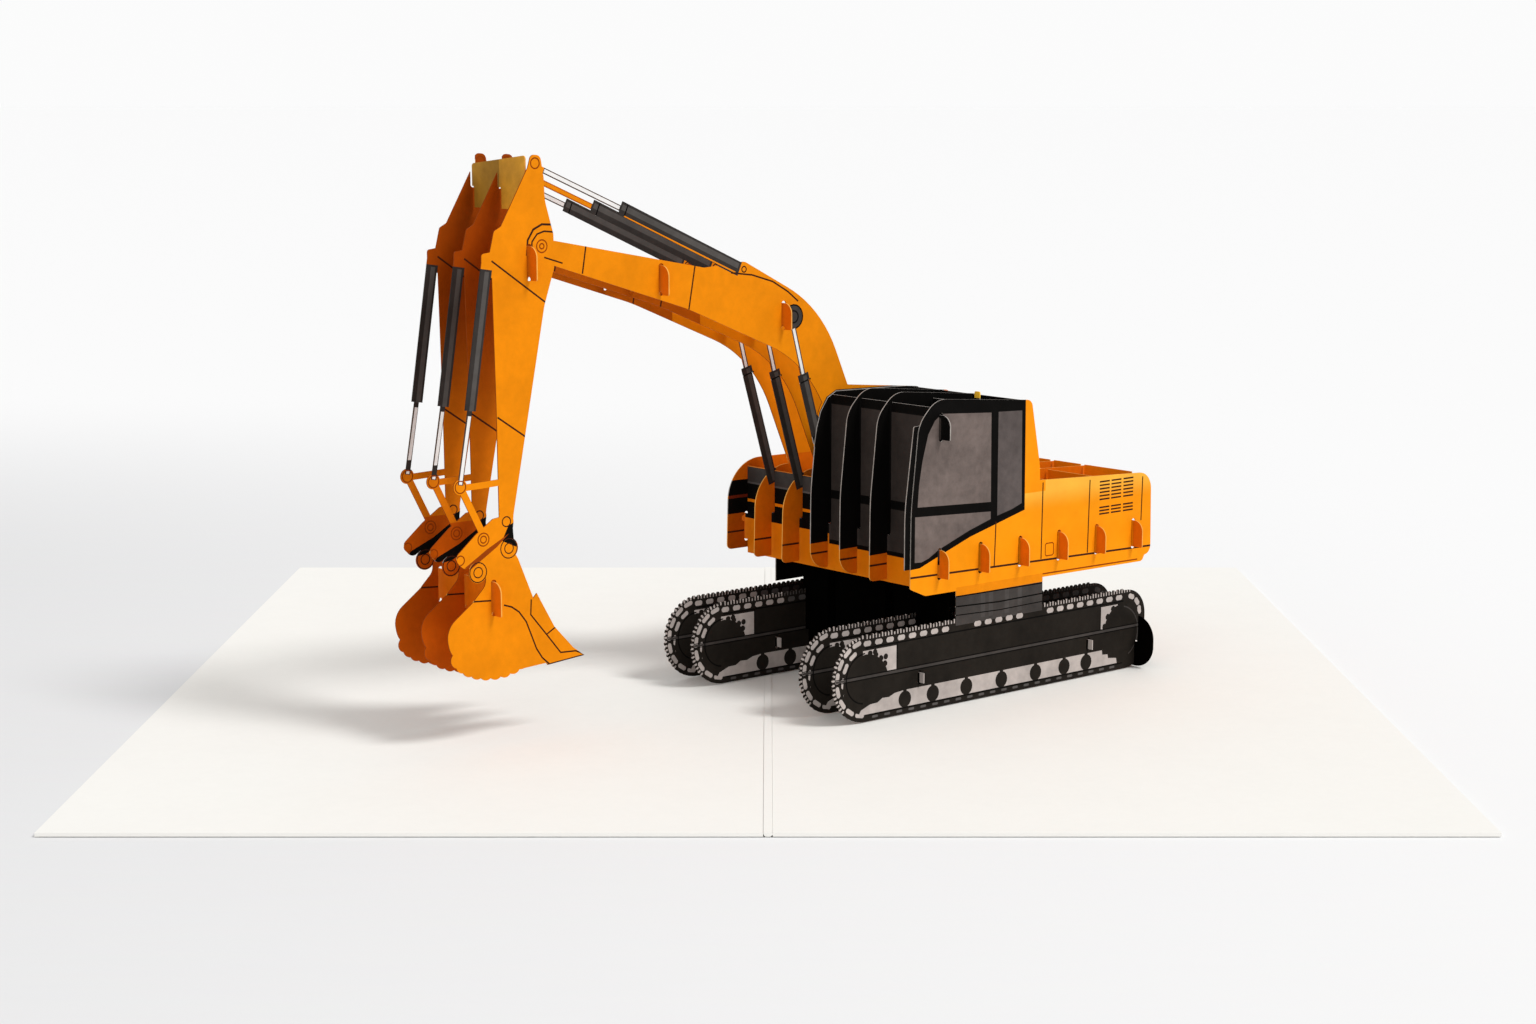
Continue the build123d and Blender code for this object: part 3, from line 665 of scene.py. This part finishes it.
def bucket_print(near):
    """The bucket's link, pins, seams and cutting edge."""
    zones = flat("black", [(-76.2, 51.6), (-74.2, 52.4), (-74.0, 46.4), (-78.0, 48.2)])
    if near:
        zones += flat("deep_orange", [
            (-76.0, 49.8), (-79.4, 47.0), (-86.6, 42.6), (-88.4, 43.0), (-82.2, 46.7),
        ])
    else:
        zones += flat("black", [
            (-75.0, 51.0), (-76.4, 48.0), (-84.2, 43.0), (-90.6, 42.0), (-88.6, 44.0), (-82.4, 46.6),
        ])
    zones += rings("line", -76.7, 52.6, 1.15, width=0.24)
    zones += rings("deep_orange", -83.1, 49.1, 0.8, 1.5, width=0.24)
    zones += rings("deep_orange", -89.5, 44.9, 1.1, width=0.24)
    zones += rings("deep_orange", -89.1, 61.8, 1.4, width=0.24)
    zones += rings("line", -76.1, 46.3, 1.2, 2.3, width=0.22)
    zones += rings("line", -84.7, 41.6, 1.2, 2.3, width=0.22)
    side_seam = [(-77.7, 33.1), (-75.6, 32.4), (-73.6, 31.0), (-71.6, 28.4), (-70.2, 25.0), (-68.8, 21.6),
                 (-67.2, 19.2), (-65.0, 17.2)]
    cutter = [(-70.1, 33.4), (-70.3, 29.9), (-65.9, 24.6), (-61.9, 19.7), (-57.6, 19.5), (-54.6, 18.2)]
    zones += lines("line", [(-91.0, 35.3), (-81.0, 34.6)], side_seam, width=0.32)
    zones += lines("line", cutter, [(-65.7, 24.7), (-62.6, 26.4)], [(-66.0, 17.3), (-55.2, 18.2)], width=0.3)
    return zones


# ---------------------------------------------------------------- cross slats

NEAR_TAB, FAR_TAB = -0.2, 74.4


def tab_print():
    """The tabs that stand out past the near and the far side sheet, printed darker as painted shade."""
    return flat("slice_orange", box(-5, 30, NEAR_TAB, 42), box(FAR_TAB, 30, 80, 42))


def windscreen_print():
    """The front of the house, seen between the slices: windscreen, dark bands, thin orange line."""
    near, cab_end, far = -0.3, 40.6, 76
    zones = flat("black", box(near, 35.7, cab_end, 80))
    zones += flat("screen", box(near, 49.7, cab_end, 71.8), box(near, 36.8, cab_end, 47.5))
    zones += flat("steel", box(cab_end, 47.6, far, 52.1))
    zones += flat("steel_light", box(cab_end, 47.6, far, 48.1))
    zones += flat("black", box(cab_end, 43.5, far, 47.6), box(cab_end, 38.3, far, 42.7))
    return zones + tab_print() + flat("black", box(-5, 60, NEAR_TAB, 80))


def roof_print():
    """Dark where the slat stands inside the cab, with the yellow end of the roof's edge."""
    return flat("black", box(-1, 53.5, 45, 75.6)) + flat("yellow", box(-1, 75.6, 5, 80)) + tab_print()


def tie_print():
    """Dark ties between the plates of a track, with pale pegs."""
    return flat("grey", box(-3, 5, -0.2, 12), box(51.0, 5, 53.8, 12))


# ---------------------------------------------------------------- building every sheet

def build_sheets():
    printed_sheet("near_side_sheet", near_side_print(), "house_orange")
    printed_sheet("cab_edge_strip", [], "black")
    for node in ("cab_slice_1", "cab_slice_2"):
        printed_sheet(node, slice_print("cab"), "slice_orange")
    dark_cut = {"orange": "deep_orange"}
    printed_sheet("arm_sheet_near", arm_print(True) + near_arm_cab(), "orange", edges=dark_cut)
    # the middle and far arm sheets are printed darker as painted shade, deepest on the stick and the bucket; the
    # boom's legs keep the plain orange where light reaches them
    for node in ("arm_sheet_middle", "arm_sheet_far"):
        zones = flat("stick_orange", box(-100, 51, -58, 140))
        zones += flat("bucket_orange", box(-100, 10, -50, 51)) + flat("orange", box(-8, 50, 60, 140))
        zones += slice_print("low") + arm_print(False, node == "arm_sheet_far")
        printed_sheet(node, zones, "shade_orange", edges=dark_cut)
    # the far side sheet is printed in the deepest painted-shade orange
    printed_sheet("far_side_sheet", slice_print("side"), "shade_orange", edges={"shade_orange": "edge"})
    # the pale pads under the house are darkened as painted shade
    printed_sheet("near_track_inner", shaded_under_house(track_print(), 27.0, 46.0), "soot")
    for node in ("far_track_inner", "far_track_outer"):
        printed_sheet(node, shaded_under_house(track_print(), 21.0, 27.0), "soot")
    for node in ("turntable_web_1", "turntable_web_2"):
        printed_sheet(node, [], "pitch")


def near_arm_cab():
    """The dark cab that hides the foot of the near boom, with a thin pale line along its edge."""
    cab = [(10, 36.2), (62, 36.8), (62, 74.6), (27.2, 75.2), (24.0, 73.6), (21.6, 70.0), (20.2, 64.0),
           (10, 60.0)]
    rim = [(19.6, 60.0), (20.7, 66.0), (22.0, 70.0), (24.4, 73.4), (27.2, 74.9), (60.0, 74.4)]
    # the house band under the cab is printed in the darker orange of painted shade
    zones = flat("slice_orange", box(10, 26, 104, 56)) + flat("black", cab)
    zones += lines("dark_edge", rim, width=0.22)
    return zones + lines("line", [(15.0, 33.7), (102.0, 33.7)], width=0.4)


def build_slats():
    printed_sheet("house_slat_1", windscreen_print(), "front_orange", across=True)
    printed_sheet("house_slat_2", roof_print(), "slat_orange", across=True)
    printed_sheet("house_slat_3", roof_print(), "slat_orange", across=True)
    for number in (4, 5, 6):
        printed_sheet(f"house_slat_{number}", tab_print(), "slat_orange", across=True)
    for node in ("frame_slat_1", "frame_slat_2", "anchor_slat"):
        printed_sheet(node, [], "pitch", across=True)
    for side in ("near", "far"):
        for number in (1, 2):
            printed_sheet(f"{side}_track_tie_{number}", tie_print(), "black", across=True)
    # the slat's part between the middle and far arm sheets is painted darker as painted shade
    printed_sheet("stick_top_slat", flat("olive_dark", box(51.8, 120, 66, 140)), "olive", across=True)
    # the arm's small slats are printed in the darker orange of painted shade
    for node in ("stick_pin_slat", "boom_middle_slat", "boom_bend_slat", "bucket_slat"):
        printed_sheet(node, [], "slice_orange", across=True)


def card_material():
    return paper("card_stock", (0.895, 0.880, 0.838), speck=0.010, roughness=0.7, coarse=0.004,
                 relief=0.12, gloss=0.2)


def dress_card():
    stock = card_material()
    for node in ("right_panel", "left_panel", "crease_bead"):
        mesh = frame["nodes"][node].data
        mesh.materials.clear()
        mesh.materials.append(stock)
    foot = frame["nodes"]["anchor_tab"].data
    foot.materials.clear()
    foot.materials.append(MATERIALS["black"])


# ---------------------------------------------------------------- studio

def floor_material():
    """Pale floor: darker towards its left side as painted falloff of the light from the right, and one even tone
    far away, like the backdrop.
    """
    material, tree, shader = new_material("studio_floor")
    place = tree.nodes.new("ShaderNodeTexCoord").outputs["Object"]
    split = tree.nodes.new("ShaderNodeSeparateXYZ")
    tree.links.new(place, split.inputs[0])
    across = ranged(tree, split.outputs["X"], FLOOR_LEFT_X, FLOOR_RIGHT_X, kind="SMOOTHSTEP")
    depth = ranged(tree, split.outputs["Y"], FLOOR_NEAR, FLOOR_FAR, kind="SMOOTHSTEP")
    grain = add(tree, "ShaderNodeTexNoise", Scale=60.0, Detail=6.0, Roughness=0.6)
    stretch = add(tree, "ShaderNodeMapping")
    stretch.inputs["Scale"].default_value = (0.6, 5.0, 1.0)
    tree.links.new(place, stretch.inputs["Vector"])
    tree.links.new(stretch.outputs["Vector"], grain.inputs["Vector"])
    tone = mix_colour(tree, across, rgba(LEFT_TONE), rgba(RIGHT_TONE))
    tone = mix_colour(tree, 0.04, tone, grain.outputs["Color"], "OVERLAY")
    tone = mix_colour(tree, depth, tone, rgba(FAR_TONE))
    tree.links.new(tone, shader.inputs["Base Color"])
    shader.inputs["Roughness"].default_value = 0.9
    shader.inputs["Specular IOR Level"].default_value = 0.1
    return material


def studio():
    bpy.ops.mesh.primitive_plane_add(size=FLOOR_SIZE, location=(0, FLOOR_Y, -FLOOR_DROP))
    floor = bpy.context.object
    floor.name = "studio_floor"
    floor.data.materials.append(floor_material())
    sky()
    sun("key", (0.70, -0.35, 0.90), 17, 0.57)
    sun("fill", (-0.35, -0.75, 0.45), 60, 0.10)


def sky():
    """An even pale backdrop that lights the scene softly and looks white to the camera."""
    world = bpy.data.worlds.new("studio_world")
    bpy.context.scene.world = world
    world.use_nodes = True
    tree = world.node_tree
    backdrop = tree.nodes["Background"]
    backdrop.inputs["Color"].default_value = rgba(BACKDROP)
    light = add(tree, "ShaderNodeBackground", Strength=SKY)
    light.inputs["Color"].default_value = (1.0, 1.0, 1.0, 1)
    seen = tree.nodes.new("ShaderNodeLightPath")
    mix = tree.nodes.new("ShaderNodeMixShader")
    tree.links.new(seen.outputs["Is Camera Ray"], mix.inputs["Fac"])
    tree.links.new(light.outputs["Background"], mix.inputs[1])
    tree.links.new(backdrop.outputs["Background"], mix.inputs[2])
    tree.links.new(mix.outputs["Shader"], tree.nodes["World Output"].inputs["Surface"])


def sun(name, towards, spread, share):
    """A soft sun; share is what it adds to a white surface that faces it."""
    data = bpy.data.lights.new(name, "SUN")
    data.angle = math.radians(spread)
    data.energy = share * math.pi
    light = bpy.data.objects.new(name, data)
    light.rotation_euler = Vector(towards).to_track_quat("Z", "Y").to_euler()
    bpy.context.collection.objects.link(light)


def camera():
    data = bpy.data.cameras.new("camera")
    data.lens = LENS
    data.sensor_width = SENSOR
    data.clip_start = 0.01
    camera_object = bpy.data.objects.new("camera", data)
    camera_object.location = (0.0, -CAMERA_BACK, CAMERA_HEIGHT + CARD_TOP)
    camera_object.rotation_euler = (math.radians(90 - CAMERA_DOWN), 0, 0)
    bpy.context.collection.objects.link(camera_object)
    bpy.context.scene.camera = camera_object


camera()
studio()
dress_card()
build_sheets()
build_slats()
bpy.context.scene.view_settings.view_transform = "Standard"
bpy.context.scene.view_settings.look = "None"
